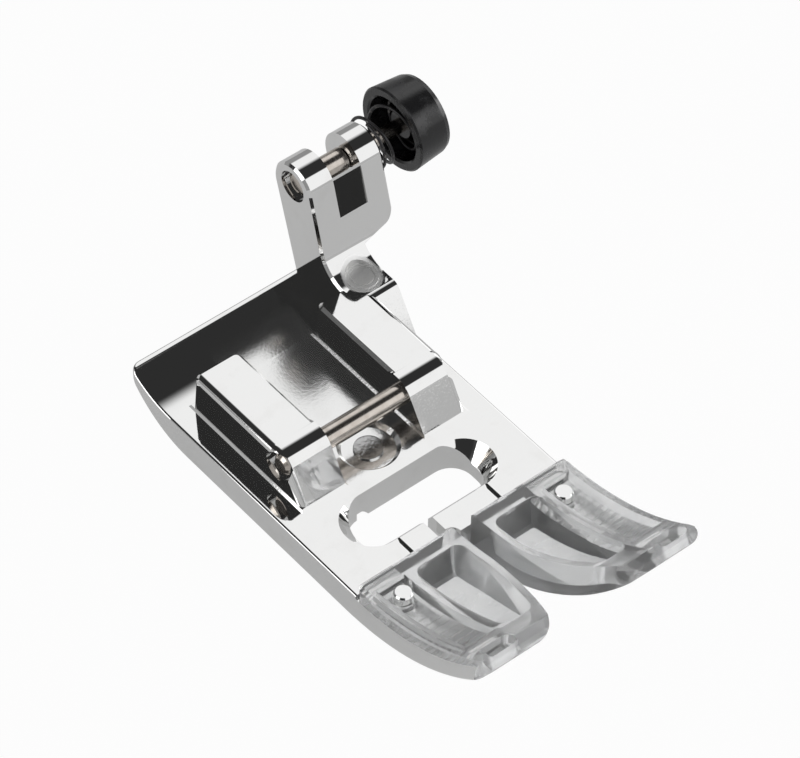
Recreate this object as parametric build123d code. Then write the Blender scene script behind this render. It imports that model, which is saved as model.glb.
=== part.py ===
from build123d import *

import os
from math import cos, radians, sin, sqrt, tan

# A clip-on presser foot for zigzag sewing, with a sprung levelling button.
# Millimetres. +X is the operator's right, where the button stands. +Y is the rear and +Z is up.
# The origin is on the sole, on the plate's centre line, below the middle of the clip-on bar.

# Sole plate
PLATE_WIDTH = 20.0
PLATE_THICKNESS = 2.8
REAR_Y = 15.7
SOLE_REAR_Y = 8.5
SOLE_REAR_RADIUS = 8.9
FLOOR_REAR_Y = 10.5
FLOOR_RADIUS = 8.3
LIP_WIDTH = 0.5
PLATE_CORNER = 1.0
SOLE_EDGE = 0.25
TOP_EDGE = 0.2

# Toes: a thin metal arm under each, and a clear insert on it
JOINT_Y = -11.7
SOLE_FRONT_Y = -10.5
TOE_RADIUS = 21.0
ARM_INNER_X = 6.3
ARM_REAR_Z = 2.5
ARM_RADIUS = 20.0
ARM_TIP_Y = -24.8
ARM_TIP_LEAN = 0.6
ARM_TIP_EDGE = 0.5
TOE_GAP = 2.0
TOE_SPREAD_Y = -16.5
TOE_SPREAD_MIDDLE = (1.75, -20.9)
TOE_SPREAD_END = (5.2, -28.0)
TOE_TIP_Y = -25.4
TOE_NOSE_Y = -26.85
TOE_NOSE_Z = 8.6
RIM_REAR_Z = 4.1
RIM_RADIUS = 24.5
RIM_LEAN = 2.3
RIM_END_Y = -25.6
NOSE_EDGE = 0.6
NOSE_INNER_CORNER = 1.7
NOSE_OUTER_CORNER = 0.8
INSERT_REAR_CORNER = 0.7
RIM_EDGE = 0.3
PEG_X = 7.7
PEG_Y = -14.4
PEG_DIAMETER = 1.5
PEG_CLEARANCE = 0.06
PEG_HEIGHT = 1.45
PEG_EDGE = 0.12
RIB_X = 6.3
RIB_WIDTH = 0.7
CHANNEL_OUTER_WALL = 0.75
CHANNEL_REAR_Y = -13.2
CHANNEL_FRONT_Y = -23.3
CHANNEL_FLOOR = 0.55
POCKET_REAR_Y = -13.3
POCKET_FRONT_Y = -23.6
POCKET_INNER_WALL = 0.55
POCKET_FLOOR = 1.0
POCKET_CORNER = 0.9
POCKET_DRAFT = 12.0
WINDOW_INNER_X = 6.8
WINDOW_OUTER_X = 9.4
WINDOW_REAR_Y = -24.6
WINDOW_FRONT_Y = -26.0
WINDOW_CORNER = 0.4

# Needle slot, the thread slit and the grooves in front of them
SLOT_REAR_Y = -4.3
SLOT_WIDTH = 4.6
SLOT_LENGTH = 11.4
SLOT_CORNER = 1.93
FLARE_LENGTH = 13.9
FLARE_WIDTH = 5.1
FLARE_DEPTH = 1.5
FLARE_TAPER = 38.0
SLIT_X = -1.2
SLIT_WIDTH = 0.85
SLIT_FLARE_RADIUS = 0.8
GROOVE_X = (-4.4, 4.05)
GROOVE_WIDTH = 0.95
GROOVE_DEPTH = 0.3
WALL_NOTCH_X = -3.3
WALL_NOTCH_RADIUS = 0.55
WALL_NOTCH_HEIGHT = 0.7

# Dished mark on the plate
DISH_Y = -0.95
DISH_RADIUS = 2.45
DISH_DEPTH = 0.35
DISH_PAD_RADIUS = 1.2
DISH_PAD_HEIGHT = 0.15

# Cheeks and the bar that the machine's ankle snaps onto
CLIP_GAP = 7.6
CHEEK_WIDTH = 4.15
CHEEK_TOP_Z = 6.6
CHEEK_REAR_Y = 10.1
CHEEK_REAR_LEAN = 0.4
CHEEK_FRONT_Y = -2.95
CHEEK_BROW_Y = -1.15
CHEEK_BROW_Z = 5.75
CHEEK_BROW_START_Y = 0.9
CHEEK_OUTER_EDGE = 0.55
CHEEK_INNER_EDGE = 0.25
CHEEK_REAR_CORNER = 0.6
CHEEK_FOOT_EDGE = 0.15
CHEEK_SINK = 0.8
BAR_Z = 5.15
BAR_DIAMETER = 1.8
BAR_END_POCKET_DIAMETER = 2.65
BAR_END_POCKET_DEPTH = 0.5
BAR_STAND_OUT = 0.25
BAR_EDGE = 0.25

# Tower of the levelling pin: a slab that leans back and ends in two round ears
TOWER_LEFT_X = 6.1
TOWER_RIGHT_X = 13.2
TOWER_LEAN = 15.0
TOWER_THICKNESS = 4.5
TOWER_OVERHANG_Z = 7.6
TOWER_OVERHANG_RISE = 0.65
TOWER_SHOULDER = 1.1
TOWER_SLOT_LEFT_X = 8.4
TOWER_SLOT_RIGHT_X = 11.1
TOWER_SLOT_DEPTH = 3.0
TOWER_HEEL = 2.85
TOWER_EDGE = 0.2
TOWER_SINK = 1.2
TOWER_REAR_BASE_Z = 4.0
TOWER_REAR_DRAFT = 0.25
WING_FRONT_Y = 5.6
WING_TOP_Y = 7.9
WING_BROW = 0.9
HEAD_Y = 15.8
HEAD_Z = 13.1
MARK_X = 8.3
MARK_Y = 10.1
MARK_DIAMETER = 2.6
MARK_RISE = 0.08
RING_DIAMETER = 2.1
RING_WIDTH = 0.15
RING_DEPTH = 0.06

# Levelling pin, spring and button
LOCK_RISE = 0.2
LOCK_DIAMETER = 1.9
LOCK_STEM_DIAMETER = 1.2
LOCK_CLEARANCE = 0.04
LOCK_POCKET_DIAMETER = 2.7
LOCK_POCKET_DEPTH = 0.5
LOCK_SHOULDER_GAP = 0.05
LOCK_EDGE = 0.15
LOCK_SEAT_DEPTH = 0.4
BUTTON_GAP = 2.6
BUTTON_LENGTH = 3.3
BUTTON_RADIUS = 3.65
BUTTON_END_RADIUS = 3.4
BUTTON_WALL = 0.85
BUTTON_END_WALL = 0.9
BUTTON_EDGE = 0.55
BUTTON_RIM_EDGE = 0.15
HUB_RADIUS = 1.15
HUB_RECESS = 0.9
BUTTON_RIBS = 4
BUTTON_RIB_WIDTH = 0.5
BUTTON_RIB_RECESS = 1.9
SPRING_RADIUS = 2.5
SPRING_WIRE = 0.26
SPRING_TURNS = 2.25
SPRING_WIRE_SIDES = 5

# Worked out from the sizes above
HALF_WIDTH = PLATE_WIDTH / 2
TOE_CENTER = (SOLE_FRONT_Y, TOE_RADIUS)
ARM_CENTER = (JOINT_Y, ARM_REAR_Z + ARM_RADIUS)
RIM_CENTER = (
    JOINT_Y + RIM_RADIUS * sin(radians(RIM_LEAN)),
    RIM_REAR_Z + RIM_RADIUS * cos(radians(RIM_LEAN)),
)
SOLE_REAR_CENTER = (SOLE_REAR_Y, SOLE_REAR_RADIUS)
FLOOR_CENTER = (FLOOR_REAR_Y, PLATE_THICKNESS + FLOOR_RADIUS)
CHEEK_OUTER_X = CLIP_GAP / 2 + CHEEK_WIDTH
LOCK_Y = HEAD_Y
LOCK_Z = HEAD_Z + LOCK_RISE
BUTTON_START_X = TOWER_RIGHT_X + BUTTON_GAP
BUTTON_END_X = BUTTON_START_X + BUTTON_LENGTH
BUTTON_FLOOR_X = BUTTON_END_X - BUTTON_END_WALL

# How much of the lip's rear wall its rounding may take
LIP_EDGE_SHARE = 0.6

# How far a fused piece reaches into its neighbour, and a length that cuts through everything
OVERLAP = 0.5
CLEAR = 40.0

FROM_BASE = (Align.CENTER, Align.CENTER, Align.MIN)


def circle_z(center, radius, y):
    """Height of the lower half of a circle in the YZ plane."""
    return center[1] - sqrt(radius**2 - (y - center[0]) ** 2)


def lower_arc(center, radius, y_start, y_end):
    """Arc along the lower half of a circle in the YZ plane."""
    stations = (y_start, (y_start + y_end) / 2, y_end)
    points = [(y, circle_z(center, radius, y)) for y in stations]
    return ThreePointArc(*points)


def yz_prism(outline, x_start, x_end):
    """Face drawn as (y, z), extruded from one x to another."""
    return Pos(x_start, 0, 0) * extrude(Plane.YZ * outline, x_end - x_start, dir=(1, 0, 0))


def plan_prism(outline):
    """Face drawn as (x, y), extruded up through everything."""
    return Pos(0, 0, -OVERLAP) * extrude(outline, CLEAR)


def x_cylinder(radius, x_start, x_end, y, z):
    """Cylinder that lies along X."""
    bar = Cylinder(radius, x_end - x_start, align=FROM_BASE)
    return Pos(x_start, y, z) * Rot(0, 90, 0) * bar


def mirror_x(shape):
    """The same shape on the other side of the centre line."""
    return mirror(shape, about=Plane.YZ)


def round_corners(outline, points, radius):
    """Face with the corners nearest to the given points rounded."""
    corners = [outline.vertices().sort_by_distance(point)[0] for point in points]
    return fillet(corners, radius)


def nearest_edge(shape, point):
    """Edge that passes nearest to a point."""
    return shape.edges().sort_by_distance(point)[0]


def plate_side():
    """Side view of the plate: flat sole, upturned rear and long front arms."""
    lip_y = REAR_Y - LIP_WIDTH
    lip_z = circle_z(FLOOR_CENTER, FLOOR_RADIUS, lip_y)
    rear_z = circle_z(SOLE_REAR_CENTER, SOLE_REAR_RADIUS, REAR_Y)
    tip_top_y = ARM_TIP_Y - ARM_TIP_LEAN
    tip_low = (ARM_TIP_Y, circle_z(TOE_CENTER, TOE_RADIUS, ARM_TIP_Y))
    tip_high = (tip_top_y, circle_z(ARM_CENTER, ARM_RADIUS, tip_top_y))
    outline = make_face(
        Curve()
        + [
            lower_arc(TOE_CENTER, TOE_RADIUS, ARM_TIP_Y, SOLE_FRONT_Y),
            Line((SOLE_FRONT_Y, 0), (SOLE_REAR_Y, 0)),
            lower_arc(SOLE_REAR_CENTER, SOLE_REAR_RADIUS, SOLE_REAR_Y, REAR_Y),
            Polyline((REAR_Y, rear_z), (REAR_Y, lip_z), (lip_y, lip_z)),
            lower_arc(FLOOR_CENTER, FLOOR_RADIUS, lip_y, FLOOR_REAR_Y),
            Polyline(
                (FLOOR_REAR_Y, PLATE_THICKNESS),
                (JOINT_Y, PLATE_THICKNESS),
                (JOINT_Y, ARM_REAR_Z),
            ),
            lower_arc(ARM_CENTER, ARM_RADIUS, JOINT_Y, tip_top_y),
            Line(tip_high, tip_low),
        ]
    )
    return round_corners(outline, [tip_low], ARM_TIP_EDGE)


def make_plate():
    """Plate with its two arms, before anything stands on it."""
    lip_z = circle_z(FLOOR_CENTER, FLOOR_RADIUS, REAR_Y - LIP_WIDTH)
    lip_wall = lip_z - SOLE_EDGE - circle_z(SOLE_REAR_CENTER, SOLE_REAR_RADIUS, REAR_Y)
    plate = yz_prism(plate_side(), -HALF_WIDTH, HALF_WIDTH)
    corners = plate.edges().filter_by(Axis.Z).group_by(Axis.Y)[-1]
    plate = fillet(corners, PLATE_CORNER)
    sole_edges = [nearest_edge(plate, (side * HALF_WIDTH, 0, 0)) for side in (-1, 1)]
    plate = chamfer(sole_edges, SOLE_EDGE)
    rear_edges = plate.edges().filter_by(lambda edge: edge.center().Y > FLOOR_REAR_Y)
    lip_edges = rear_edges.filter_by(
        lambda edge: edge.bounding_box().max.Z > lip_z - lip_wall / 2
    )
    plate = fillet(lip_edges, min(TOP_EDGE, LIP_EDGE_SHARE * lip_wall))
    between_arms = Box(
        2 * ARM_INNER_X, CLEAR, CLEAR, align=(Align.CENTER, Align.MAX, Align.CENTER)
    )
    return plate - Pos(0, JOINT_Y, 0) * between_arms


def cheek_side():
    """Side view of a cheek, with a sloped front under a rounded brow."""
    base_z = PLATE_THICKNESS - CHEEK_SINK
    front_slope = (CHEEK_BROW_Y - CHEEK_FRONT_Y) / (CHEEK_BROW_Z - PLATE_THICKNESS)
    front_base_y = CHEEK_FRONT_Y - front_slope * CHEEK_SINK
    brow_low = (CHEEK_BROW_Y, CHEEK_BROW_Z)
    brow_high = (CHEEK_BROW_START_Y, CHEEK_TOP_Z)
    return make_face(
        Curve()
        + [
            Line((front_base_y, base_z), brow_low),
            TangentArc(brow_low, brow_high, tangent=(front_slope, 1)),
            Polyline(
                brow_high,
                (CHEEK_REAR_Y, CHEEK_TOP_Z),
                (CHEEK_REAR_Y + CHEEK_REAR_LEAN, base_z),
                (front_base_y, base_z),
            ),
        ]
    )


def cheek_foot():
    """Narrow bevel round the base of the right cheek, where it meets the plate."""
    length = CHEEK_REAR_Y + CHEEK_REAR_LEAN - CHEEK_FRONT_Y
    foot = Rectangle(CHEEK_WIDTH + 2 * CHEEK_FOOT_EDGE, length + 2 * CHEEK_FOOT_EDGE)
    middle_x = (CLIP_GAP / 2 + CHEEK_OUTER_X) / 2
    middle_y = CHEEK_FRONT_Y + length / 2
    bevel = extrude(foot, CHEEK_FOOT_EDGE, taper=45)
    return Pos(middle_x, middle_y, PLATE_THICKNESS) * bevel


def make_cheek():
    """Right cheek, with a broad outer edge, a fine inner one and a rounded inner rear corner."""
    cheek = yz_prism(cheek_side(), CLIP_GAP / 2, CHEEK_OUTER_X)
    above_base = cheek.edges().filter_by(lambda edge: edge.center().Z > PLATE_THICKNESS)
    cheek = fillet(above_base.group_by(Axis.X)[-1], CHEEK_OUTER_EDGE)
    rear = nearest_edge(cheek, (CLIP_GAP / 2, CHEEK_REAR_Y, PLATE_THICKNESS))
    cheek = fillet(rear, CHEEK_REAR_CORNER)
    inner = nearest_edge(cheek, (CLIP_GAP / 2, CHEEK_REAR_Y / 2, CHEEK_TOP_Z))
    cheek = chamfer(inner, CHEEK_INNER_EDGE)
    return cheek + cheek_foot()


def tower_side():
    """Side view of the tower: wing, flat foot, leaning slab and round head."""
    lean = radians(TOWER_LEAN)
    half = TOWER_THICKNESS / 2
    front_y, front_z = -half * cos(lean), half * sin(lean)
    head_front = (HEAD_Y + front_y, HEAD_Z + front_z)
    head_rear = (HEAD_Y - front_y, HEAD_Z - front_z)
    head_top = (HEAD_Y + half * sin(lean), HEAD_Z + half * cos(lean))
    heel = (head_front[0] - (head_front[1] - CHEEK_TOP_Z) * tan(lean), CHEEK_TOP_Z)
    brow = (WING_TOP_Y, CHEEK_TOP_Z)
    base_z = PLATE_THICKNESS - TOWER_SINK
    rear_rise = head_rear[1] - TOWER_REAR_BASE_Z
    rear_base_y = head_rear[0] - rear_rise * tan(lean) - TOWER_REAR_DRAFT
    outline = make_face(
        Curve()
        + [
            ThreePointArc(head_front, head_top, head_rear),
            Polyline(
                head_rear,
                (rear_base_y, TOWER_REAR_BASE_Z),
                (rear_base_y - TOWER_SINK, base_z),
                (WING_FRONT_Y, base_z),
                (WING_FRONT_Y, PLATE_THICKNESS),
                brow,
                heel,
                head_front,
            ),
        ]
    )
    outline = round_corners(outline, [heel], TOWER_HEEL)
    return round_corners(outline, [brow], WING_BROW)


def tower_front():
    """Front view of the tower, drawn as (x, z): its head overhangs the plate's edge."""
    left_x = TOWER_LEFT_X - OVERLAP
    shoulder = (TOWER_RIGHT_X, TOWER_OVERHANG_Z + TOWER_OVERHANG_RISE)
    outline = make_face(
        Polyline(
            (left_x, -OVERLAP),
            (HALF_WIDTH, -OVERLAP),
            (HALF_WIDTH, TOWER_OVERHANG_Z),
            shoulder,
            (TOWER_RIGHT_X, CLEAR),
            (left_x, CLEAR),
            close=True,
        )
    )
    return round_corners(outline, [shoulder], TOWER_SHOULDER)


def make_tower():
    """Tower common to its side view and its front view, with the slot between its ears."""
    slab = yz_prism(tower_side(), TOWER_LEFT_X, TOWER_RIGHT_X)
    front = Pos(0, CLEAR, 0) * extrude(Plane.XZ * tower_front(), 2 * CLEAR, dir=(0, -1, 0))
    tower = slab & front
    front_y = HEAD_Y - TOWER_THICKNESS / 2 * cos(radians(TOWER_LEAN))
    face_edges = [
        nearest_edge(tower, (x, front_y, HEAD_Z)) for x in (TOWER_LEFT_X, TOWER_RIGHT_X)
    ]
    tower = chamfer(face_edges, TOWER_EDGE)
    slot = Box(
        TOWER_SLOT_RIGHT_X - TOWER_SLOT_LEFT_X,
        2 * TOWER_THICKNESS,
        CLEAR,
        align=(Align.MIN, Align.CENTER, Align.MIN),
    )
    leaning = Pos(TOWER_SLOT_LEFT_X, HEAD_Y, HEAD_Z) * Rot(-TOWER_LEAN, 0, 0)
    return tower - leaning * Pos(0, 0, -TOWER_SLOT_DEPTH) * slot


def needle_slot():
    """Through slot for the swinging needle, flared wide at both ends."""
    outline = RectangleRounded(SLOT_LENGTH, SLOT_WIDTH, SLOT_CORNER)
    through = plan_prism(Pos(0, SLOT_REAR_Y - SLOT_WIDTH / 2) * outline)
    rim = Pos(0, SLOT_REAR_Y - FLARE_WIDTH / 2, PLATE_THICKNESS) * SlotOverall(
        FLARE_LENGTH, FLARE_WIDTH
    )
    flare = extrude(rim, -FLARE_DEPTH, taper=FLARE_TAPER)
    notch = Pos(WALL_NOTCH_X, SLOT_REAR_Y, -OVERLAP) * Cylinder(
        WALL_NOTCH_RADIUS, WALL_NOTCH_HEIGHT + OVERLAP, align=FROM_BASE
    )
    return [through, flare, notch]


def thread_slit():
    """Slit that lets the thread reach the needle slot from between the toes."""
    length = SLOT_REAR_Y - SLOT_WIDTH / 2 - JOINT_Y
    slit = Pos(SLIT_X, JOINT_Y + length / 2, 0) * Box(SLIT_WIDTH, length + OVERLAP, CLEAR)
    mouth = Pos(SLIT_X + SLIT_WIDTH / 2, JOINT_Y, 0) * Cylinder(SLIT_FLARE_RADIUS, CLEAR)
    return [slit, mouth]


def grooves():
    """Two shallow grooves from the needle slot to the clear inserts."""
    length = SLOT_REAR_Y - SLOT_WIDTH / 2 - JOINT_Y
    groove = Box(GROOVE_WIDTH, length, 2 * GROOVE_DEPTH)
    return [Pos(x, JOINT_Y + length / 2, PLATE_THICKNESS) * groove for x in GROOVE_X]


def dish():
    """Round dished mark with a low pad in its middle."""
    bowl = Cone(DISH_RADIUS - DISH_DEPTH, DISH_RADIUS, DISH_DEPTH, align=FROM_BASE)
    pad = Cylinder(DISH_PAD_RADIUS, DISH_PAD_HEIGHT, align=FROM_BASE)
    return Pos(0, DISH_Y, PLATE_THICKNESS - DISH_DEPTH) * (bowl - pad)


def mark_boss():
    """Low round boss on the tower's foot, where the die's ejector presses."""
    boss = Cylinder(MARK_DIAMETER / 2, MARK_RISE + OVERLAP, align=FROM_BASE)
    return Pos(MARK_X, MARK_Y, CHEEK_TOP_Z - OVERLAP) * boss


def mark_cuts():
    """Space above the flat boss, out of the tower's heel, and the plain ring in its face."""
    above = Cylinder(MARK_DIAMETER / 2, TOWER_HEEL, align=FROM_BASE)
    outer = Cylinder(RING_DIAMETER / 2, 2 * RING_DEPTH)
    inner = Cylinder(RING_DIAMETER / 2 - RING_WIDTH, 2 * RING_DEPTH)
    place = Pos(MARK_X, MARK_Y, CHEEK_TOP_Z + MARK_RISE)
    return [place * above, place * (outer - inner)]


def bar_bores():
    """Press-fit bore for the bar and its round pocket in each cheek's outer face."""
    reach_x = CHEEK_OUTER_X + OVERLAP
    pocket_x = CHEEK_OUTER_X - BAR_END_POCKET_DEPTH
    bore = x_cylinder(BAR_DIAMETER / 2, -reach_x, reach_x, 0, BAR_Z)
    pocket = x_cylinder(BAR_END_POCKET_DIAMETER / 2, pocket_x, reach_x, 0, BAR_Z)
    return [bore, pocket, mirror_x(pocket)]


def lock_bores():
    """Wide bore in the left ear, narrow bore in the right one and a pocket outside the left."""
    wide = LOCK_DIAMETER / 2 + LOCK_CLEARANCE
    narrow = LOCK_STEM_DIAMETER / 2 + LOCK_CLEARANCE
    spans = (
        (LOCK_POCKET_DIAMETER / 2, TOWER_LEFT_X - OVERLAP, TOWER_LEFT_X + LOCK_POCKET_DEPTH),
        (wide, TOWER_LEFT_X - OVERLAP, TOWER_SLOT_LEFT_X + OVERLAP),
        (narrow, TOWER_SLOT_RIGHT_X - OVERLAP, TOWER_RIGHT_X + OVERLAP),
    )
    return [x_cylinder(radius, start, end, LOCK_Y, LOCK_Z) for radius, start, end in spans]


def make_peg():
    """Locating peg on the right arm, for the clear insert."""
    base_z = circle_z(ARM_CENTER, ARM_RADIUS, PEG_Y) - OVERLAP
    peg = Cylinder(PEG_DIAMETER / 2, PEG_HEIGHT + OVERLAP, align=FROM_BASE)
    peg = chamfer(peg.edges().group_by(Axis.Z)[-1], PEG_EDGE)
    return Pos(PEG_X, PEG_Y, base_z) * peg


def make_casting():
    """The whole chromed casting."""
    cheek = make_cheek()
    peg = make_peg()
    body = make_plate() + cheek + mirror_x(cheek) + make_tower() + peg + mirror_x(peg)
    cuts = needle_slot() + thread_slit() + grooves() + bar_bores() + lock_bores()
    return (body + mark_boss()) - cuts - dish() - mark_cuts()


def toe_plan():
    """Plan of the right toe, with the inner edge that spreads towards the tip."""
    inner_x = TOE_GAP / 2
    end_x, end_y = TOE_SPREAD_END
    return make_face(
        Curve()
        + [
            Polyline(
                (inner_x, TOE_SPREAD_Y),
                (inner_x, JOINT_Y),
                (HALF_WIDTH, JOINT_Y),
                (HALF_WIDTH, end_y),
                (end_x, end_y),
            ),
            ThreePointArc(TOE_SPREAD_END, TOE_SPREAD_MIDDLE, (inner_x, TOE_SPREAD_Y)),
        ]
    )


def insert_side():
    """Side view of a clear insert, from the sole up to its rim."""
    sole_rear = (JOINT_Y, circle_z(TOE_CENTER, TOE_RADIUS, JOINT_Y))
    rim_rear = (JOINT_Y, circle_z(RIM_CENTER, RIM_RADIUS, JOINT_Y))
    rim_end = (RIM_END_Y, circle_z(RIM_CENTER, RIM_RADIUS, RIM_END_Y))
    nose = (TOE_NOSE_Y, TOE_NOSE_Z)
    tip = (TOE_TIP_Y, circle_z(TOE_CENTER, TOE_RADIUS, TOE_TIP_Y))
    outline = make_face(
        Curve()
        + [
            lower_arc(TOE_CENTER, TOE_RADIUS, TOE_TIP_Y, JOINT_Y),
            Line(sole_rear, rim_rear),
            lower_arc(RIM_CENTER, RIM_RADIUS, JOINT_Y, RIM_END_Y),
            Polyline(rim_end, nose, tip),
        ]
    )
    outline = chamfer(outline.vertices().sort_by_distance(rim_rear)[0], RIM_EDGE)
    return round_corners(outline, [nose], NOSE_EDGE)


def nose_block():
    """Right toe cut off along the slope of its nose, with rounded corners, before its side view."""
    tip_z = circle_z(TOE_CENTER, TOE_RADIUS, TOE_TIP_Y)
    slope = (TOE_NOSE_Y - TOE_TIP_Y) / (TOE_NOSE_Z - tip_z)
    high_z = TOE_NOSE_Z + OVERLAP
    outline = Polyline(
        (TOE_TIP_Y - slope * tip_z, 0),
        (TOE_TIP_Y + slope * (high_z - tip_z), high_z),
        (JOINT_Y + OVERLAP, high_z),
        (JOINT_Y + OVERLAP, 0),
        close=True,
    )
    block = yz_prism(make_face(outline), 0, HALF_WIDTH) & plan_prism(toe_plan())
    inner = nearest_edge(block, (TOE_GAP / 2, TOE_TIP_Y, tip_z))
    block = fillet(inner, NOSE_INNER_CORNER)
    outer = nearest_edge(block, (HALF_WIDTH, TOE_TIP_Y, tip_z))
    block = fillet(outer, NOSE_OUTER_CORNER)
    rear = nearest_edge(block, (HALF_WIDTH, JOINT_Y, RIM_REAR_Z))
    return fillet(rear, INSERT_REAR_CORNER)


def rim_bevel():
    """What the bevel takes off the rim's outer edge, turned about the rim arc's own axis."""
    reach = RIM_EDGE + 2 * OVERLAP
    section = Polyline((0, 0), (-reach, 0), (0, -reach), close=True)
    corner = Pos(HALF_WIDTH + OVERLAP, -RIM_RADIUS + OVERLAP)
    ring = revolve(corner * make_face(section), Axis.X)
    return Pos(0, *RIM_CENTER) * ring


def insert_block():
    """Outer form of the right insert, with its rounded nose and corners and its bevelled rim."""
    return (nose_block() & yz_prism(insert_side(), 0, HALF_WIDTH)) - rim_bevel()


def above_arc(center, radius, lift, y_span, x_span):
    """Everything above an arc that is lifted by a floor's thickness."""
    raised = (center[0], center[1] + lift)
    y_front, y_rear = y_span
    outline = make_face(
        Curve()
        + [
            lower_arc(raised, radius, y_front, y_rear),
            Polyline(
                (y_rear, circle_z(raised, radius, y_rear)),
                (y_rear, CLEAR),
                (y_front, CLEAR),
                (y_front, circle_z(raised, radius, y_front)),
            ),
        ]
    )
    return yz_prism(outline, *x_span)


def arm_space():
    """Space under the right insert that its arm fills, out past the plate's edge."""
    outer_x = HALF_WIDTH + OVERLAP
    arm_y = (TOE_NOSE_Y - OVERLAP, JOINT_Y + OVERLAP)
    above = above_arc(ARM_CENTER, ARM_RADIUS, 0, arm_y, (ARM_INNER_X, outer_x))
    tip_top_y = ARM_TIP_Y - ARM_TIP_LEAN
    tip_z = circle_z(TOE_CENTER, TOE_RADIUS, ARM_TIP_Y)
    top_z = circle_z(ARM_CENTER, ARM_RADIUS, tip_top_y)
    rear_y = JOINT_Y + OVERLAP
    outline = Polyline(
        (rear_y, -OVERLAP),
        (rear_y, top_z),
        (tip_top_y, top_z),
        (ARM_TIP_Y, tip_z),
        (ARM_TIP_Y, -OVERLAP),
        close=True,
    )
    return yz_prism(make_face(outline), ARM_INNER_X, outer_x) - above


def pocket_prism():
    """Pocket with round corners, straight above the low end of the rim and narrower below."""
    outer_x = RIB_X - RIB_WIDTH / 2
    length = POCKET_REAR_Y - POCKET_FRONT_Y
    reach = Pos(outer_x, POCKET_REAR_Y) * Rectangle(
        outer_x, length, align=(Align.MAX, Align.MAX)
    )
    outline = reach & offset(toe_plan(), -POCKET_INNER_WALL, kind=Kind.INTERSECTION)
    corners = [(x, y) for x in (0, outer_x) for y in (POCKET_REAR_Y, POCKET_FRONT_Y)]
    outline = round_corners(outline, corners, POCKET_CORNER)
    below = extrude(outline, -RIM_REAR_Z, taper=POCKET_DRAFT)
    return Pos(0, 0, RIM_REAR_Z) * (below + extrude(outline, CLEAR))


def make_insert():
    """Right clear insert: seated on its arm, hollowed by a channel and a deep pocket."""
    channel_x = (RIB_X + RIB_WIDTH / 2, HALF_WIDTH - CHANNEL_OUTER_WALL)
    channel_y = (CHANNEL_FRONT_Y, CHANNEL_REAR_Y)
    channel = above_arc(ARM_CENTER, ARM_RADIUS, CHANNEL_FLOOR, channel_y, channel_x)
    pocket_y = (TOE_NOSE_Y, JOINT_Y)
    pocket = above_arc(TOE_CENTER, TOE_RADIUS, POCKET_FLOOR, pocket_y, (0, HALF_WIDTH))
    pocket = pocket & pocket_prism()
    window = Pos(
        (WINDOW_INNER_X + WINDOW_OUTER_X) / 2, (WINDOW_FRONT_Y + WINDOW_REAR_Y) / 2
    ) * RectangleRounded(
        WINDOW_OUTER_X - WINDOW_INNER_X, WINDOW_REAR_Y - WINDOW_FRONT_Y, WINDOW_CORNER
    )
    hole = Pos(PEG_X, PEG_Y, 0) * Cylinder(PEG_DIAMETER / 2 + PEG_CLEARANCE, CLEAR)
    return insert_block() - arm_space() - channel - pocket - plan_prism(window) - hole


def make_bar():
    """Clip-on bar, pressed through both cheeks, with bevelled ends."""
    end_x = CHEEK_OUTER_X - BAR_END_POCKET_DEPTH + BAR_STAND_OUT
    bar = x_cylinder(BAR_DIAMETER / 2, -end_x, end_x, 0, BAR_Z)
    return chamfer(bar.edges().filter_by(GeomType.CIRCLE), BAR_EDGE)


def make_lock_pin():
    """Levelling pin: a thick barrel in the left ear and a stem through the right one."""
    barrel_start = TOWER_LEFT_X + LOCK_POCKET_DEPTH
    barrel_end = TOWER_SLOT_RIGHT_X - LOCK_SHOULDER_GAP
    barrel = x_cylinder(LOCK_DIAMETER / 2, barrel_start, barrel_end, LOCK_Y, LOCK_Z)
    barrel = chamfer(barrel.edges().filter_by(GeomType.CIRCLE), LOCK_EDGE)
    stem_end = BUTTON_FLOOR_X + LOCK_SEAT_DEPTH
    stem = x_cylinder(LOCK_STEM_DIAMETER / 2, barrel_end - OVERLAP, stem_end, LOCK_Y, LOCK_Z)
    return barrel + stem


def button_cup():
    """Cup turned about the pin's axis. Its rim is at x = 0 and its closed end at +X."""
    floor_x = BUTTON_LENGTH - BUTTON_END_WALL
    inner_radius = BUTTON_RADIUS - BUTTON_WALL
    bevel = BUTTON_EDGE * (1 - cos(radians(45)))
    section = make_face(
        Polyline(
            (0, inner_radius),
            (0, BUTTON_RADIUS),
            (BUTTON_LENGTH - BUTTON_EDGE, BUTTON_END_RADIUS),
            (BUTTON_LENGTH - bevel, BUTTON_END_RADIUS - bevel),
            (BUTTON_LENGTH, BUTTON_END_RADIUS - BUTTON_EDGE),
            (BUTTON_LENGTH, 0),
            (floor_x, 0),
            (floor_x, BUTTON_END_RADIUS - BUTTON_WALL),
            close=True,
        )
    )
    rim = [
        section.vertices().sort_by_distance(point)[0]
        for point in ((0, BUTTON_RADIUS), (0, inner_radius))
    ]
    return revolve(chamfer(rim, BUTTON_RIM_EDGE), Axis.X)


def make_button():
    """Button: a cup with a hub on the pin's end and ribs that the spring bears on."""
    floor_x = BUTTON_LENGTH - BUTTON_END_WALL
    hub = x_cylinder(HUB_RADIUS, HUB_RECESS, floor_x + BUTTON_END_WALL / 2, 0, 0)
    rib = Pos(BUTTON_RIB_RECESS, 0, 0) * Box(
        floor_x + BUTTON_END_WALL / 2 - BUTTON_RIB_RECESS,
        BUTTON_RIB_WIDTH,
        BUTTON_END_RADIUS - BUTTON_WALL / 2,
        align=(Align.MIN, Align.CENTER, Align.MIN),
    )
    turn = 360 / BUTTON_RIBS
    ribs = [Rot(turn * (index + 0.5), 0, 0) * rib for index in range(BUTTON_RIBS)]
    button = Pos(BUTTON_START_X, LOCK_Y, LOCK_Z) * (button_cup() + hub + ribs)
    return button - make_lock_pin()


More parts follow.
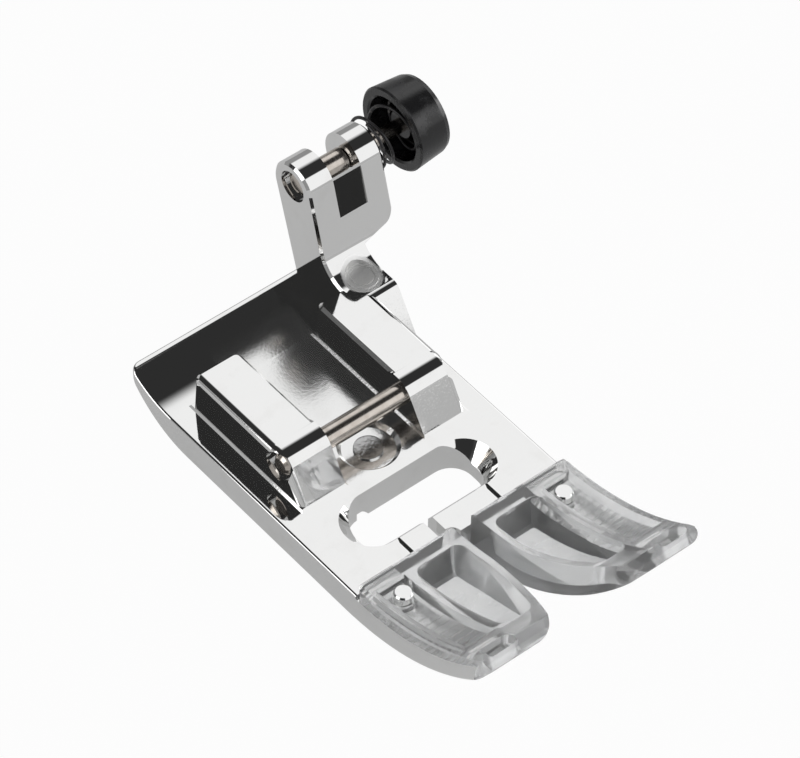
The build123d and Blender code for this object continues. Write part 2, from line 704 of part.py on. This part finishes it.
def make_spring():
    """Open compression spring between the right ear and the button's ribs."""
    start_x = TOWER_RIGHT_X + SPRING_WIRE / 2
    end_x = BUTTON_START_X + BUTTON_RIB_RECESS - SPRING_WIRE / 2
    path = Helix((end_x - start_x) / SPRING_TURNS, end_x - start_x, SPRING_RADIUS)
    section = RegularPolygon(SPRING_WIRE / 2, SPRING_WIRE_SIDES)
    spring = sweep(Plane(origin=path @ 0, z_dir=path % 0) * section, path=path)
    return Pos(start_x, LOCK_Y, LOCK_Z) * Rot(0, 90, 0) * spring


def write(name, shape):
    """Write one piece, each in a file of its own."""
    export_step(shape, f"parts/{name}.step")


def main():
    """Build every piece and write it."""
    os.makedirs("parts", exist_ok=True)
    insert = make_insert()
    write("foot_casting", make_casting())
    write("toe_insert_right", insert)
    write("toe_insert_left", mirror_x(insert))
    write("snap_bar", make_bar())
    write("lock_pin", make_lock_pin())
    write("button", make_button())
    write("button_spring", make_spring())


if __name__ == "__main__":
    main()
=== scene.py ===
"""Looks of a sewing machine presser foot.

A chromed casting with clear toes and a sprung button. Metres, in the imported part's own
frame: +X to the operator's right, +Y to the rear and +Z up, with the sole on z = 0.
"""

from __future__ import annotations

import logging
import math
from dataclasses import dataclass
from enum import Enum

import bmesh
import bpy
from mathutils import Matrix, Vector


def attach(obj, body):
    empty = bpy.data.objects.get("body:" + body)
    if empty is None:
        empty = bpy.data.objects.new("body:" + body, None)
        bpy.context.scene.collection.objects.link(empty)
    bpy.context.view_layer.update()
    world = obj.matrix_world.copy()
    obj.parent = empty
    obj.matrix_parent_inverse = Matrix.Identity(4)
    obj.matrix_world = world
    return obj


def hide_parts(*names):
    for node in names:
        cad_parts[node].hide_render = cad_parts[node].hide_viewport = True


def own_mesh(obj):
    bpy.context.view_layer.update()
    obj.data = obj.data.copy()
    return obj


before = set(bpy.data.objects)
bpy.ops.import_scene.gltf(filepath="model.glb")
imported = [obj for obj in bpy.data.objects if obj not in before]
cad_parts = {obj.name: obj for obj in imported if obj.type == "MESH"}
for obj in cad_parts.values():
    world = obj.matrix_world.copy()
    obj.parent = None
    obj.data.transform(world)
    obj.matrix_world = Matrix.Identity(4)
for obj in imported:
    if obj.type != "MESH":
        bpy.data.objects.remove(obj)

LOG = logging.getLogger("presser_foot")
MM = 0.001
WELD_M = 1e-7
NOISE_MIDDLE = 0.5
WHITE = (1.0, 1.0, 1.0, 1.0)
FOOT = "foot"

Colour = tuple[float, float, float]
Point = tuple[float, float, float]
Span = tuple[float, float]


class Ray(Enum):
    """Kinds of ray that the studio tells apart, by their Light Path outputs."""

    CAMERA = "Is Camera Ray"
    GLOSSY = "Is Glossy Ray"
    TRANSMISSION = "Is Transmission Ray"


class Sock:
    """A node's output in an expression: the operators add Math nodes to its tree."""

    def __init__(self, tree: bpy.types.NodeTree, socket: bpy.types.NodeSocket) -> None:
        """Wraps one output.

        Args:
            tree: The node tree that the socket is in.
            socket: The output socket.
        """
        self.tree = tree
        self.socket = socket

    def _math(self, operation: str, *values: "Sock | float") -> "Sock":
        """Adds a Math node.

        Args:
            operation: The node's operation.
            values: Its inputs in order.

        Returns:
            The node's output.
        """
        node = self.tree.nodes.new("ShaderNodeMath")
        node.operation = operation
        for socket, value in zip(node.inputs, values):
            feed(self.tree, socket, value)
        return Sock(self.tree, node.outputs[0])

    def __add__(self, other: "Sock | float") -> "Sock":
        """Sum."""
        return self._math("ADD", self, other)

    def __radd__(self, other: float) -> "Sock":
        """Sum, number first."""
        return self._math("ADD", other, self)

    def __sub__(self, other: "Sock | float") -> "Sock":
        """Difference."""
        return self._math("SUBTRACT", self, other)

    def __rsub__(self, other: float) -> "Sock":
        """Difference, number first."""
        return self._math("SUBTRACT", other, self)

    def __mul__(self, other: "Sock | float") -> "Sock":
        """Product."""
        return self._math("MULTIPLY", self, other)

    def __rmul__(self, other: float) -> "Sock":
        """Product, number first."""
        return self._math("MULTIPLY", other, self)

    def __truediv__(self, other: "Sock | float") -> "Sock":
        """Quotient."""
        return self._math("DIVIDE", self, other)

    def at_least(self, other: "Sock | float") -> "Sock":
        """The larger of the two."""
        return self._math("MAXIMUM", self, other)


def feed(tree: bpy.types.NodeTree, socket: bpy.types.NodeSocket, value: object) -> None:
    """Sets or links one input.

    Args:
        tree: The node tree.
        socket: The input socket.
        value: A Sock to link, or a number, colour or vector to set.
    """
    if isinstance(value, Sock):
        tree.links.new(value.socket, socket)
    else:
        socket.default_value = value


def between(share: Sock, start: float, end: float) -> Sock:
    """A number that is start at share 0 and end at share 1."""
    return start + (end - start) * share


def rgba(colour: Colour) -> tuple[float, float, float, float]:
    """A colour with full alpha."""
    return (*colour, 1.0)


@dataclass(frozen=True)
class Pattern:
    """A noise pattern: waves a millimetre, octaves, and the span where it fades in."""

    scale: float
    detail: float
    span: Span = (0.0, 1.0)


@dataclass(frozen=True)
class Spot:
    """A round zone seen from above, in millimetres.

    Its edge fades out between two shares of its radius squared.
    """

    centre: Span
    radius: float
    edge: Span


class Graph:
    """A node tree and the one method that adds nodes to it."""

    def __init__(self, tree: bpy.types.NodeTree) -> None:
        """Wraps and empties a tree.

        Args:
            tree: The node tree of a material or world.
        """
        self.tree = tree
        tree.nodes.clear()

    def add(
        self,
        kind: str,
        settings: dict[str, object] | None = None,
        values: dict[str | int, object] | None = None,
    ) -> bpy.types.Node:
        """Adds a node.

        Args:
            kind: The node's type, without the ShaderNode prefix.
            settings: Its properties, set first.
            values: What goes into its input sockets, by name or number.

        Returns:
            The node.
        """
        node = self.tree.nodes.new("ShaderNode" + kind)
        for name, value in (settings or {}).items():
            setattr(node, name, value)
        for name, value in (values or {}).items():
            feed(self.tree, node.inputs[name], value)
        return node

    def out(self, node: bpy.types.Node, name: str | int = 0) -> Sock:
        """A node's output as a Sock."""
        return Sock(self.tree, node.outputs[name])

    def place(self) -> Sock:
        """Object coordinates in millimetres.

        Returns:
            The point as a vector.
        """
        coordinates = self.add("TexCoord")
        scaled = self.add(
            "VectorMath",
            {"operation": "SCALE"},
            {0: self.out(coordinates, "Object"), "Scale": 1 / MM},
        )
        return self.out(scaled)

    def axes(self, vector: Sock) -> tuple[Sock, Sock, Sock]:
        """The X, Y and Z of a vector."""
        parts = self.add("SeparateXYZ", None, {0: vector})
        return self.out(parts, "X"), self.out(parts, "Y"), self.out(parts, "Z")

    def stretched(self, vector: Sock, scale: Point) -> Sock:
        """A vector multiplied axis by axis."""
        node = self.add("VectorMath", {"operation": "MULTIPLY"}, {0: vector, 1: scale})
        return self.out(node)

    def noise(self, vector: Sock, pattern: Pattern) -> Sock:
        """A pattern's noise, from 0 to 1."""
        values = {"Vector": vector, "Scale": pattern.scale, "Detail": pattern.detail}
        return self.out(self.add("TexNoise", None, values))

    def mask(self, value: Sock, span: Span, falling: bool = False) -> Sock:
        """Maps a span to 0..1, smoothly and clamped.

        Args:
            value: What is mapped.
            span: Where the mask starts and ends to change.
            falling: Whether it goes from 1 to 0 instead.

        Returns:
            The mask.
        """
        start, end = (1.0, 0.0) if falling else (0.0, 1.0)
        node = self.add(
            "MapRange",
            {"interpolation_type": "SMOOTHSTEP"},
            {0: value, 1: span[0], 2: span[1], 3: start, 4: end},
        )
        return self.out(node)

    def patches(self, vector: Sock, pattern: Pattern) -> Sock:
        """Soft patches of 1 where the noise passes its span, and 0 between them."""
        return self.mask(self.noise(vector, pattern), pattern.span)

    def spot(self, across: Sock, along: Sock, spot: Spot) -> Sock:
        """Masks a round zone.

        Args:
            across: The place along X in millimetres.
            along: The place along Y in millimetres.
            spot: The zone.

        Returns:
            1 inside the zone and 0 outside it.
        """
        aside = across - spot.centre[0]
        ahead = along - spot.centre[1]
        reach = spot.radius * spot.radius
        edge = (reach * spot.edge[0], reach * spot.edge[1])
        return self.mask(aside * aside + ahead * ahead, edge, falling=True)

    def blend(self, share: Sock | float, first: object, second: object) -> Sock:
        """Mixes two colours: the first at share 0, the second at share 1."""
        node = self.add("Mix", {"data_type": "RGBA"}, {0: share, 6: first, 7: second})
        return self.out(node, 2)

    def bump(
        self,
        height: Sock,
        distance_mm: float,
        strength: float,
        under: Sock | None = None,
    ) -> Sock:
        """Bumps the surface.

        Args:
            height: How high it is, from 0 to 1.
            distance_mm: What a height of 1 stands for.
            strength: How strongly it shows.
            under: The normal of a bump below this one.

        Returns:
            The bumped normal.
        """
        values = {"Strength": strength, "Distance": distance_mm * MM, "Height": height}
        if under is not None:
            values["Normal"] = under
        return self.out(self.add("Bump", None, values))

    def ray(self, kind: Ray) -> Sock:
        """1 for rays of one kind and 0 for all others."""
        return self.out(self.add("LightPath"), kind.value)

    def seen(self) -> Sock:
        """1 for what the camera sees, also through the toes, and 0 for the rest."""
        return self.ray(Ray.CAMERA).at_least(self.ray(Ray.TRANSMISSION))

    def surface(self, values: dict[str | int, object]) -> None:
        """Adds the Principled shader with these inputs and joins it to the output.

        Args:
            values: Inputs of the shader by name.
        """
        shader = self.add("BsdfPrincipled", None, values)
        self.add("OutputMaterial", None, {"Surface": self.out(shader)})


def new_material(name: str) -> tuple[bpy.types.Material, Graph]:
    """An empty node material.

    Args:
        name: The material's name.

    Returns:
        The material and its graph.
    """
    material = bpy.data.materials.new(name)
    material.use_nodes = True
    return material, Graph(material.node_tree)


@dataclass(frozen=True)
class ChromeFinish:
    """Bright chrome on a die casting: almost a mirror, with the casting's faint ripple.

    The cast zone lies low between the cheeks and is the least polished, the pad is the
    middle of the dished mark, and the boss is the round mark on the tower's foot. The
    cast zone's half width is given squared.
    """

    colour: Colour = (0.84, 0.84, 0.835)
    roughness: float = 0.03
    haze: Pattern = Pattern(0.45, 4.0, (0.52, 0.72))
    haze_colour: Colour = (0.78, 0.775, 0.765)
    haze_tint: float = 0.4
    haze_roughness: float = 0.12
    haze_share: float = 0.35
    speck: Pattern = Pattern(7.0, 2.0, (0.5, 0.75))
    speck_share: float = 0.3
    pit_height_mm: float = 0.0003
    pit_strength: float = 0.5
    ripple: Pattern = Pattern(0.3, 1.0)
    ripple_height_mm: float = 0.003
    grain: Pattern = Pattern(4.5, 3.0)
    low_z_mm: Span = (3.1, 3.9)
    cast_half_width_squared: Span = (14.0, 20.0)
    cast_front_y_mm: Span = (-3.6, -2.6)
    cast_roughness: float = 0.15
    cast_height_mm: float = 0.006
    pad: Spot = Spot((0.0, -0.95), 1.2, (0.85, 1.0))
    pad_colour: Colour = (0.5, 0.5, 0.5)
    pad_height_mm: float = 0.03
    boss: Spot = Spot((8.3, 10.1), 1.6, (0.8, 1.2))
    boss_z_mm: Span = (6.3, 6.5)
    boss_roughness: float = 0.55

    def zones(self, graph: Graph, place: Sock) -> tuple[Sock, Sock, Sock]:
        """Masks the places where the casting isn't bright.

        Args:
            graph: The material's graph.
            place: Object coordinates in millimetres.

        Returns:
            The cast zone between the cheeks, the pad and the boss.
        """
        across, along, height = graph.axes(place)
        low = graph.mask(height, self.low_z_mm, falling=True)
        cast = (
            low
            * graph.mask(across * across, self.cast_half_width_squared, falling=True)
            * graph.mask(along, self.cast_front_y_mm)
        )
        pad = low * graph.spot(across, along, self.pad)
        boss = graph.mask(height, self.boss_z_mm) * graph.spot(across, along, self.boss)
        return cast, pad, boss

    def relief(
        self, graph: Graph, place: Sock, speck: Sock, cast: Sock, pad: Sock
    ) -> Sock:
        """Lays pits over the ripple, and grain over both.

        Args:
            graph: The material's graph.
            place: Object coordinates in millimetres.
            speck: Where the pits are.
            cast: The cast zone.
            pad: The pad.

        Returns:
            The bumped normal.
        """
        ripple = graph.noise(place, self.ripple)
        waves = graph.bump(ripple, self.ripple_height_mm, 1.0)
        pits = graph.bump(1.0 - speck, self.pit_height_mm, self.pit_strength, waves)
        rise = cast * self.cast_height_mm + pad * self.pad_height_mm
        return graph.bump(graph.noise(place, self.grain) * rise, 1.0, 1.0, pits)

    def material(self) -> bpy.types.Material:
        """Builds the material.

        Returns:
            The material, for every face of what wears it.
        """
        material, graph = new_material("bright_chrome")
        place = graph.place()
        haze = graph.patches(place, self.haze)
        speck = graph.patches(place, self.speck)
        cast, pad, boss = self.zones(graph, place)
        tone = graph.blend(
            haze * self.haze_tint, rgba(self.colour), rgba(self.haze_colour)
        )
        rough = between(
            haze * self.haze_share + speck * self.speck_share,
            self.roughness,
            self.haze_roughness,
        )
        rough = rough.at_least(cast * self.cast_roughness)
        graph.surface(
            {
                "Base Color": graph.blend(pad, tone, rgba(self.pad_colour)),
                "Metallic": 1.0,
                "Roughness": rough.at_least(boss * self.boss_roughness),
                "Normal": self.relief(graph, place, speck, cast, pad),
            }
        )
        return material


@dataclass(frozen=True)
class SteelFinish:
    """Ground steel rod: warm grey with fine marks round it."""

    colour: Colour = (0.66, 0.61, 0.56)
    roughness: float = 0.2
    shade: Pattern = Pattern(1.1, 3.0, (0.35, 0.7))
    shade_colour: Colour = (0.5, 0.45, 0.4)
    shade_tint: float = 0.6
    mark: Pattern = Pattern(1.0, 2.0)
    mark_stretch: Point = (9.0, 0.35, 0.35)
    mark_roughness: float = 0.2
    mark_height_mm: float = 0.004
    mark_strength: float = 0.6

    def material(self) -> bpy.types.Material:
        """Builds the material.

        Returns:
            The material, for every face of what wears it.
        """
        material, graph = new_material("ground_steel")
        place = graph.place()
        marks = graph.noise(graph.stretched(place, self.mark_stretch), self.mark)
        shade = graph.patches(place, self.shade)
        graph.surface(
            {
                "Base Color": graph.blend(
                    shade * self.shade_tint, rgba(self.colour), rgba(self.shade_colour)
                ),
                "Metallic": 1.0,
                "Roughness": self.roughness
                + (marks - NOISE_MIDDLE) * self.mark_roughness,
                "Normal": graph.bump(marks, self.mark_height_mm, self.mark_strength),
            }
        )
        return material


@dataclass(frozen=True)
class ClearFinish:
    """Clear moulded toe: smooth outside, slightly frosted and grey in its depth."""

    colour: Colour = (0.975, 0.98, 0.98)
    roughness: float = 0.1
    ior: float = 1.49
    transmission: float = 0.74
    frost: Pattern = Pattern(0.6, 3.0, (0.38, 0.68))
    frost_colour: Colour = (0.93, 0.935, 0.94)
    frost_roughness: float = 0.26
    flow: Pattern = Pattern(1.0, 3.0)
    flow_stretch: Point = (0.5, 0.18, 0.5)
    flow_height_mm: float = 0.004
    flow_strength: float = 0.7

    def material(self) -> bpy.types.Material:
        """Builds the material.

        Returns:
            The material, for every face of what wears it.
        """
        material, graph = new_material("clear_toe_plastic")
        place = graph.place()
        flow = graph.noise(graph.stretched(place, self.flow_stretch), self.flow)
        frost = graph.patches(place, self.frost)
        graph.surface(
            {
                "Base Color": graph.blend(
                    frost, rgba(self.colour), rgba(self.frost_colour)
                ),
                "Roughness": between(frost, self.roughness, self.frost_roughness),
                "IOR": self.ior,
                "Transmission Weight": self.transmission,
                "Normal": graph.bump(flow, self.flow_height_mm, self.flow_strength),
            }
        )
        return material


@dataclass(frozen=True)
class BlackPlasticFinish:
    """Glossy black moulding with a soft sheen and light handling marks."""

    colour: Colour = (0.012, 0.012, 0.013)
    roughness: float = 0.2
    rubbed: Pattern = Pattern(0.7, 4.0, (0.45, 0.7))
    rubbed_colour: Colour = (0.03, 0.03, 0.032)
    rubbed_roughness: float = 0.38
    grain: Pattern = Pattern(5.0, 2.0)
    grain_height_mm: float = 0.01
    grain_strength: float = 0.5

    def material(self) -> bpy.types.Material:
        """Builds the material.

        Returns:
            The material, for every face of what wears it.
        """
        material, graph = new_material("black_moulded_plastic")
        place = graph.place()
        rubbed = graph.patches(place, self.rubbed)
        grain = graph.noise(place, self.grain)
        graph.surface(
            {
                "Base Color": graph.blend(
                    rubbed, rgba(self.colour), rgba(self.rubbed_colour)
                ),
                "Roughness": between(rubbed, self.roughness, self.rubbed_roughness),
                "Normal": graph.bump(grain, self.grain_height_mm, self.grain_strength),
            }
        )
        return material


@dataclass(frozen=True)
class BlackWireFinish:
    """Oiled black spring wire, metal showing where it has rubbed."""

    colour: Colour = (0.035, 0.034, 0.036)
    metallic: float = 0.4
    roughness: float = 0.3
    bare: Pattern = Pattern(2.2, 3.0, (0.56, 0.7))
    bare_colour: Colour = (0.22, 0.21, 0.2)
    bare_metallic: float = 0.9
    bare_roughness: float = 0.45

    def material(self) -> bpy.types.Material:
        """Builds the material.

        Returns:
            The material, for every face of what wears it.
        """
        material, graph = new_material("black_spring_wire")
        bare = graph.patches(graph.place(), self.bare)
        graph.surface(
            {
                "Base Color": graph.blend(
                    bare, rgba(self.colour), rgba(self.bare_colour)
                ),
                "Metallic": between(bare, self.metallic, self.bare_metallic),
                "Roughness": between(bare, self.roughness, self.bare_roughness),
            }
        )
        return material


def dress_node(node: str, material: bpy.types.Material) -> None:
    """Gives a CAD node its material and leaves its mesh alone.

    Args:
        node: The node's name.
        material: The material for all its faces.
    """
    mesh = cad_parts[node].data
    mesh.materials.clear()
    mesh.materials.append(material)
    LOG.info("%s: %d faces, %s", node, len(mesh.polygons), material.name)


def finish_piece(
    name: str, mesh: bmesh.types.BMesh, material: bpy.types.Material
) -> bpy.types.Object:
    """Makes an object of a finished bmesh, at the origin, smooth shaded.

    Args:
        name: The piece's name.
        mesh: The shape, which is freed.
        material: Its material.

    Returns:
        The new object.
    """
    bmesh.ops.remove_doubles(mesh, verts=mesh.verts, dist=WELD_M)
    bmesh.ops.recalc_face_normals(mesh, faces=mesh.faces)
    for face in mesh.faces:
        face.smooth = True
    data = bpy.data.meshes.new(name)
    mesh.to_mesh(data)
    mesh.free()
    data.materials.append(material)
    piece = bpy.data.objects.new(name, data)
    bpy.context.scene.collection.objects.link(piece)
    LOG.info("%s: %d faces, %s", name, len(data.polygons), material.name)
    return piece


@dataclass
class Casting:
    """The chromed die casting and the steel bar pressed through its cheeks."""

    chrome: ChromeFinish = ChromeFinish()
    steel: SteelFinish = SteelFinish()

    def build(self) -> bpy.types.Material:
        """Dresses both nodes.

        Returns:
            The steel, for the levelling pin.
        """
        steel = self.steel.material()
        dress_node("foot_casting", self.chrome.material())
        dress_node("snap_bar", steel)
        return steel


@dataclass
class Toes:
    """The two clear moulded toes."""

    clear: ClearFinish = ClearFinish()

    def build(self) -> None:
        """Dresses both toes."""
        material = self.clear.material()
        dress_node("toe_insert_right", material)
        dress_node("toe_insert_left", material)


@dataclass
class LevellingButton:
    """The black button, its pin and the wire spring behind it.

    Sizes are in millimetres. The closed turns' pitch is in wire radii, and keep, which
    is not used, is the share of the spring's length that is left when the button is
    pressed.
    """

    plastic: BlackPlasticFinish = BlackPlasticFinish()
    wire: BlackWireFinish = BlackWireFinish()
    axis_y: float = 15.8
    axis_z: float = 13.3
    spring_start_x: float = 13.2
    spring_end_x: float = 17.7
    coil_radius: float = 2.15
    wire_radius: float = 0.14
    wire_sides: int = 12
    closed_turns: float = 1.0
    closed_pitch: float = 2.1
    open_turns: float = 1.6
    steps_a_turn: int = 48
    keep: float = 0.467

    def coil(self) -> bmesh.types.BMesh:
        """Spins the wire's section: closed turns, open turns and closed turns again.

        Returns:
            The coil with both its ends filled.
        """
        mesh = bmesh.new()
        start = self.spring_start_x + self.wire_radius
        length = self.spring_end_x - self.wire_radius - start
        closed = self.closed_pitch * self.wire_radius
        stages = (
            (self.closed_turns, closed),
            (self.open_turns, length - 2 * closed),
            (self.closed_turns, closed),
        )
        section = bmesh.ops.create_circle(
            mesh, segments=self.wire_sides, radius=self.wire_radius * MM, cap_ends=False
        )["verts"]
        upright = Matrix.Rotation(math.radians(90), 3, "X")
        bmesh.ops.rotate(mesh, verts=section, cent=(0, 0, 0), matrix=upright)
        top = Vector((start, self.axis_y, self.axis_z + self.coil_radius)) * MM
        bmesh.ops.translate(mesh, verts=section, vec=top)
        first = ring = list(mesh.edges)
        for turns, advance in stages:
            steps = round(turns * self.steps_a_turn)
            made = bmesh.ops.spin(
                mesh,
                geom=ring,
                cent=Vector((0.0, self.axis_y, self.axis_z)) * MM,
                axis=(1, 0, 0),
                dvec=Vector((advance / steps, 0, 0)) * MM,
                angle=math.tau * turns,
                steps=steps,
                use_duplicate=False,
            )
            ring = [g for g in made["geom_last"] if isinstance(g, bmesh.types.BMEdge)]
        bmesh.ops.holes_fill(mesh, edges=first + ring, sides=self.wire_sides)
        return mesh

    def spring(self) -> bpy.types.Object:
        """The coil, in one fixed shape.

        Returns:
            The spring, which stands for the CAD one.
        """
        piece = finish_piece("spring_coil", self.coil(), self.wire.material())
        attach(piece, FOOT)
        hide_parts("button_spring")
        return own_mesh(piece)

    def build(self, steel: bpy.types.Material) -> None:
        """Dresses the pin and button, and makes the spring.

        Args:
            steel: The pin's finish.
        """
        dress_node("lock_pin", steel)
        dress_node("button", self.plastic.material())
        self.spring()


@dataclass(frozen=True)
class SkyPanel:
    """A soft-edged panel overhead.

    Its sides lie to the right and to the rear, each divided by the panel's height.
    """

    left: float
    right: float
    front: float
    rear: float
    level: float
    soft: float = 0.16

    def share(self, graph: Graph, across: Sock, along: Sock) -> Sock:
        """How much of the panel is seen in a direction.

        Args:
            graph: The world's graph.
            across: The direction's way to the right, divided by its height.
            along: Its way to the rear, divided by its height.

        Returns:
            1 inside the panel and 0 outside it.
        """
        inside: Sock | float = 1.0
        for value, low, high in (
            (across, self.left, self.right),
            (along, self.front, self.rear),
        ):
            for side, edge in ((1, low), (-1, high)):
                fade = self.soft * max(1.0, abs(edge))
                inside = graph.mask((value - edge) * side, (-fade, fade)) * inside
        return inside


@dataclass(frozen=True)
class PanelLamp:
    """A square area lamp aimed at the part, in metres and watts."""

    name: str
    place: Point
    size: float
    watts: float

    def build(self) -> None:
        """Makes the lamp."""
        data = bpy.data.lights.new(self.name, "AREA")
        data.size = self.size
        data.energy = self.watts
        lamp = bpy.data.objects.new(self.name, data)
        lamp.location = self.place
        aim = -Vector(self.place)
        lamp.rotation_euler = aim.to_track_quat("-Z", "Y").to_euler()
        bpy.context.scene.collection.objects.link(lamp)


@dataclass
class Studio:
    """White panels and dark gaps overhead, a pale floor and soft lamps.

    Each sky panel covers those before it. In order: the dark gap over the front, the
    dark gap over the rear, the white panel at the rear right, the grey band low in
    front, the white panel in front and the white panel on the left.
    """

    wall_level: float = 0.3
    horizon: float = 0.05
    panels: tuple[SkyPanel, ...] = (
        SkyPanel(-2.2, 3.0, -2.5, 0.33, 0.03),
        SkyPanel(-2.2, 0.36, -0.62, 4.5, 0.03),
        SkyPanel(0.36, 3.0, 0.33, 1.7, 1.01),
        SkyPanel(-14.0, 14.0, -40.0, -7.4, 0.5),
        SkyPanel(-0.4, 14.0, -7.8, -0.62, 1.02, 0.05),
        SkyPanel(-5.0, -1.9, -0.3, 1.5, 0.95),
    )
    lamps: tuple[PanelLamp, ...] = (
        PanelLamp("left_panel", (-0.5, 0.1, 0.16), 0.4, 0.8),
        PanelLamp("right_panel", (0.45, 0.1, 0.25), 0.4, 0.15),
        PanelLamp("front_panel", (0.5, -0.2, 0.12), 0.35, 1.2),
    )
    floor_half_m: float = 0.6
    floor_z_m: float = -0.00002
    floor_level: float = 0.5
    floor_glow: float = 0.97
    floor_shine: float = 0.38

    def sky(self) -> None:
        """The world: white to the camera, and panels and gaps to everything else."""
        world = bpy.data.worlds.new("studio")
        world.use_nodes = True
        bpy.context.scene.world = world
        graph = Graph(world.node_tree)
        right, rear, up = graph.axes(graph.out(graph.add("TexCoord"), "Generated"))
        height = up.at_least(self.horizon)
        across = right / height
        along = rear / height
        level: Sock | float = self.wall_level
        for panel in self.panels:
            share = panel.share(graph, across, along)
            level = share * panel.level + (1.0 - share) * level
        seen = graph.seen()
        strength = seen + (1.0 - seen) * level
        shine = graph.add("Background", None, {"Color": WHITE, "Strength": strength})
        graph.add("OutputWorld", None, {"Surface": graph.out(shine)})

    def floor(self) -> None:
        """White to the camera, with a faint shadow, and grey in the chrome."""
        mesh = bmesh.new()
        bmesh.ops.create_grid(mesh, x_segments=2, y_segments=2, size=self.floor_half_m)
        bmesh.ops.translate(mesh, verts=mesh.verts, vec=(0, 0, self.floor_z_m))
        material, graph = new_material("pale_floor")
        glow = graph.seen() * self.floor_glow
        shine = graph.ray(Ray.GLOSSY) * self.floor_shine
        pale = rgba((self.floor_level,) * 3)
        matte = graph.add("BsdfDiffuse", None, {"Color": pale})
        white = graph.add("Emission", None, {"Color": WHITE, "Strength": 1.0})
        both = graph.add(
            "MixShader",
            None,
            {0: glow + shine, 1: graph.out(matte), 2: graph.out(white)},
        )
        graph.add("OutputMaterial", None, {"Surface": graph.out(both)})
        finish_piece("studio_floor", mesh, material)

    def build(self) -> None:
        """Builds the sky, the floor and the lamps, and sets the view transform."""
        self.sky()
        self.floor()
        for lamp in self.lamps:
            lamp.build()
        bpy.context.scene.view_settings.view_transform = "Standard"


@dataclass(frozen=True)
class FittedCamera:
    """The photograph's view, fitted to the part's edges and circles.

    Angles are in degrees, the focal length in pixels, the shifts and the distance in
    millimetres.
    """

    azimuth: float = -40.10406696723373
    elevation: float = 47.957081800798974
    roll: float = 0.9611820867498229
    focal_px: float = 4774.848364347405
    shift_x: float = -2.988383842910831
    shift_y: float = -6.311297694895102
    distance: float = 361.0557073056207
    image_width_px: int = 800
    sensor_mm: float = 36.0
    near_m: float = 0.01
    far_m: float = 5.0

    def build(self) -> None:
        """Makes the scene's camera."""
        az, el, roll = (
            math.radians(a) for a in (self.azimuth, self.elevation, self.roll)
        )
        level = math.cos(el)
        back = Vector((math.sin(az) * level, -math.cos(az) * level, math.sin(el)))
        right = Vector((math.cos(az), math.sin(az), 0.0))
        up = back.cross(right)
        x_axis = right * math.cos(roll) + up * math.sin(roll)
        y_axis = up * math.cos(roll) - right * math.sin(roll)
        turn = Matrix((x_axis, y_axis, back)).transposed()
        offset = Vector((self.shift_x, self.shift_y, -self.distance)) * MM
        data = bpy.data.cameras.new("photo_camera")
        data.sensor_width = self.sensor_mm
        data.lens = self.sensor_mm * self.focal_px / self.image_width_px
        data.clip_start = self.near_m
        data.clip_end = self.far_m
        camera = bpy.data.objects.new("photo_camera", data)
        camera.matrix_world = Matrix.Translation(-(turn @ offset)) @ turn.to_4x4()
        bpy.context.scene.collection.objects.link(camera)
        bpy.context.scene.camera = camera


def main() -> None:
    """Builds the pieces, the studio and the camera."""
    logging.basicConfig(level=logging.INFO, format="%(message)s")
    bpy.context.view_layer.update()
    steel = Casting().build()
    Toes().build()
    LevellingButton().build(steel)
    Studio().build()
    FittedCamera().build()


if __name__ == "__main__":
    main()
